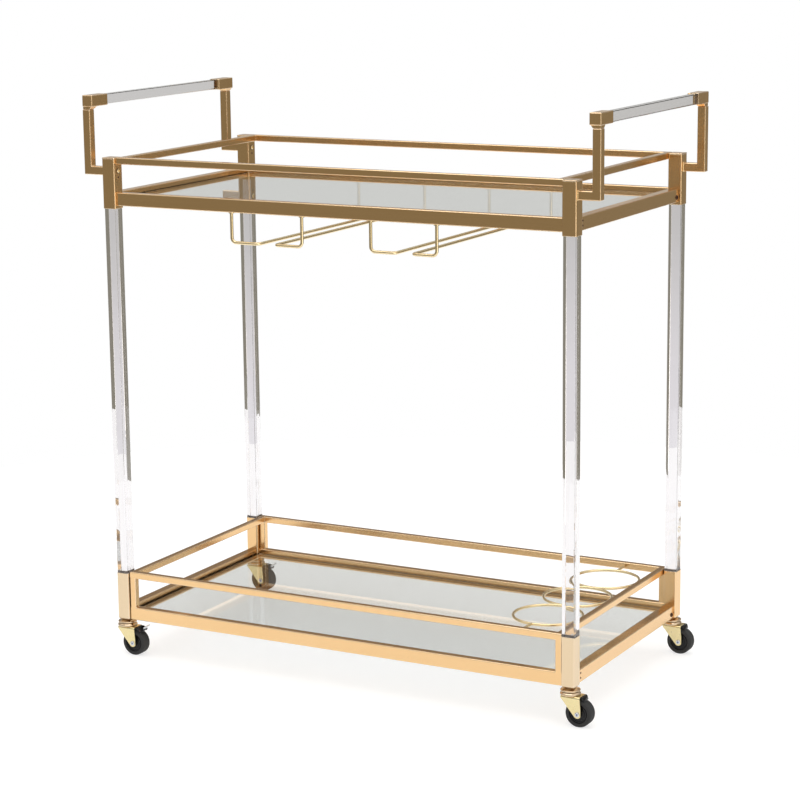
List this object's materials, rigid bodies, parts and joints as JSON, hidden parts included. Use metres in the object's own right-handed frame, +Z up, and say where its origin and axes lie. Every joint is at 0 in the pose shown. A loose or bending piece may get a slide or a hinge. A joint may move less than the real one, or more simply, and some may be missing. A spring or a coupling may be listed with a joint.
{
  "type": "bar cart",
  "caption": "Rolling bar cart with glass trays in a brass frame, clear legs and grips, stemware rails, bottle rings and swivel casters with brakes.",
  "frame": {"origin": "on the floor under the middle of the cart, at the bottom centre of its bounding box", "axes": "+X along the cart towards the bottle rings, +Y from front to back, +Z up"},
  "size_m": [0.8306, 0.4038, 0.8509],
  "materials": {
    "brass": "satin plated",
    "caster_brass": "bright plated",
    "acrylic": "clear polished",
    "glass": "clear polished",
    "black_rubber": "semi-gloss",
    "black_plastic": "gloss",
    "zinc": "plated"
  },
  "bodies": {
    "cart": {"upper_tray_frame": "brass", "upper_gallery_rail": "brass", "lower_tray_frame": "brass", "bottle_rings": "brass", "wine_rail_1": "brass", "wine_rail_2": "brass", "wine_rail_3": "brass", "wine_rail_4": "brass", "upper_glass": "glass", "lower_glass": "glass", "handle_bar_left": "acrylic", "handle_bar_right": "acrylic", "upper_sleeve_front_left": "brass", "sleeve_cap_front_left": "brass", "lower_sleeve_front_left": "brass", "handle_arm_front_left": "brass", "handle_corner_front_left": "brass", "acrylic_leg_front_left": "acrylic", "caster_stem_front_left": "caster_brass", "upper_sleeve_front_right": "brass", "sleeve_cap_front_right": "brass", "lower_sleeve_front_right": "brass", "handle_arm_front_right": "brass", "handle_corner_front_right": "brass", "acrylic_leg_front_right": "acrylic", "caster_stem_front_right": "caster_brass", "upper_sleeve_back_left": "brass", "sleeve_cap_back_left": "brass", "lower_sleeve_back_left": "brass", "handle_arm_back_left": "brass", "handle_corner_back_left": "brass", "acrylic_leg_back_left": "acrylic", "caster_stem_back_left": "caster_brass", "upper_sleeve_back_right": "brass", "sleeve_cap_back_right": "brass", "lower_sleeve_back_right": "brass", "handle_arm_back_right": "brass", "handle_corner_back_right": "brass", "acrylic_leg_back_right": "acrylic", "caster_stem_back_right": "caster_brass"},
    "caster_front_left": {"caster_fork_front_left": "caster_brass", "axle_front_left": "zinc", "caster_guard_front_left": "black_plastic", "brake_pin_front_left": "zinc"},
    "wheel_body_front_left": {"wheel_front_left": "black_rubber"},
    "brake_front_left": {"brake_lever_front_left": "black_plastic"},
    "caster_front_right": {"caster_fork_front_right": "caster_brass", "axle_front_right": "zinc", "caster_guard_front_right": "black_plastic"},
    "wheel_body_front_right": {"wheel_front_right": "black_rubber"},
    "caster_back_left": {"caster_fork_back_left": "caster_brass", "axle_back_left": "zinc", "caster_guard_back_left": "black_plastic", "brake_pin_back_left": "zinc"},
    "wheel_body_back_left": {"wheel_back_left": "black_rubber"},
    "brake_back_left": {"brake_lever_back_left": "black_plastic"},
    "caster_back_right": {"caster_fork_back_right": "caster_brass", "axle_back_right": "zinc", "caster_guard_back_right": "black_plastic"},
    "wheel_body_back_right": {"wheel_back_right": "black_rubber"}
  },
  "joints": [
    {"name": "swivel_front_left", "type": "hinge", "parent": "cart", "child": "caster_front_left", "pos_m": [-0.371, -0.18695, 0.0497], "axis": [0, 0, 1], "continuous": true},
    {"name": "roll_front_left", "type": "hinge", "parent": "caster_front_left", "child": "wheel_body_front_left", "pos_m": [-0.356, -0.18695, 0.0195], "axis": [0, 1, 0], "continuous": true},
    {"name": "brake_front_left_press", "type": "hinge", "parent": "caster_front_left", "child": "brake_front_left", "pos_m": [-0.3435, -0.18695, 0.04], "axis": [0, 1, 0], "range_deg": [0, 14]},
    {"name": "swivel_front_right", "type": "hinge", "parent": "cart", "child": "caster_front_right", "pos_m": [0.371, -0.18695, 0.0497], "axis": [0, 0, 1], "continuous": true},
    {"name": "roll_front_right", "type": "hinge", "parent": "caster_front_right", "child": "wheel_body_front_right", "pos_m": [0.386, -0.18695, 0.0195], "axis": [0, 1, 0], "continuous": true},
    {"name": "swivel_back_left", "type": "hinge", "parent": "cart", "child": "caster_back_left", "pos_m": [-0.371, 0.18695, 0.0497], "axis": [0, 0, 1], "continuous": true},
    {"name": "roll_back_left", "type": "hinge", "parent": "caster_back_left", "child": "wheel_body_back_left", "pos_m": [-0.356, 0.18695, 0.0195], "axis": [0, 1, 0], "continuous": true},
    {"name": "brake_back_left_press", "type": "hinge", "parent": "caster_back_left", "child": "brake_back_left", "pos_m": [-0.3435, 0.18695, 0.04], "axis": [0, 1, 0], "range_deg": [0, 14]},
    {"name": "swivel_back_right", "type": "hinge", "parent": "cart", "child": "caster_back_right", "pos_m": [0.371, 0.18695, 0.0497], "axis": [0, 0, 1], "continuous": true},
    {"name": "roll_back_right", "type": "hinge", "parent": "caster_back_right", "child": "wheel_body_back_right", "pos_m": [0.386, 0.18695, 0.0195], "axis": [0, 1, 0], "continuous": true}
  ]
}
